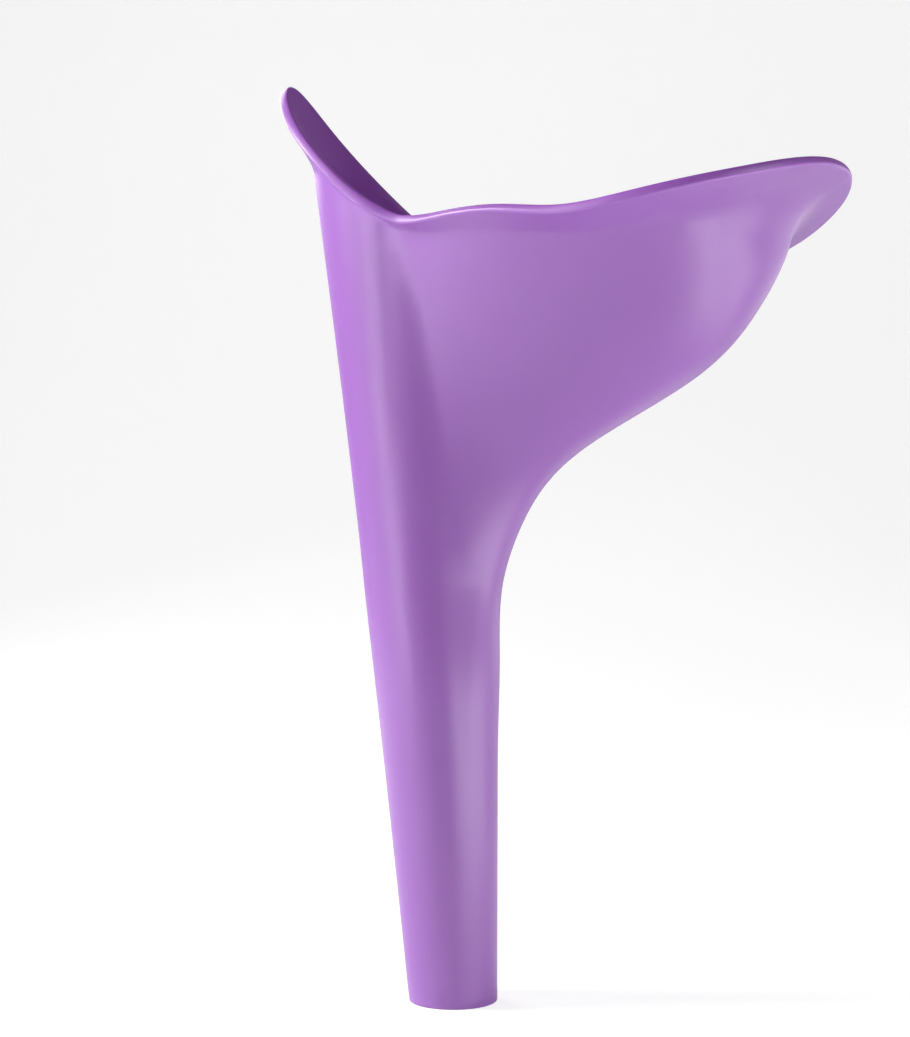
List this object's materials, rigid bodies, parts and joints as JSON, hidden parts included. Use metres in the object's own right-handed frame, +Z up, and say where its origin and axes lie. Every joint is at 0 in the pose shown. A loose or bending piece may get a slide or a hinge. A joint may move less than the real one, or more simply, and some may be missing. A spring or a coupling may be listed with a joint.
{
  "type": "urination funnel",
  "caption": "Soft one-piece hand-held urination funnel: bowl with a flanged rim, high front lip and broad rear tongue, draining down a tapered spout.",
  "frame": {"origin": "centre of the spout's open end, on the bore's axis", "axes": "+Z up along the outlet bore, +X towards the rear tongue, Y across the width with XZ as the plane of symmetry"},
  "size_m": [0.1287, 0.0822, 0.2069],
  "materials": {
    "silicone": "satin purple silicone"
  },
  "bodies": {
    "root": {"funnel": "silicone"}
  },
  "joints": []
}
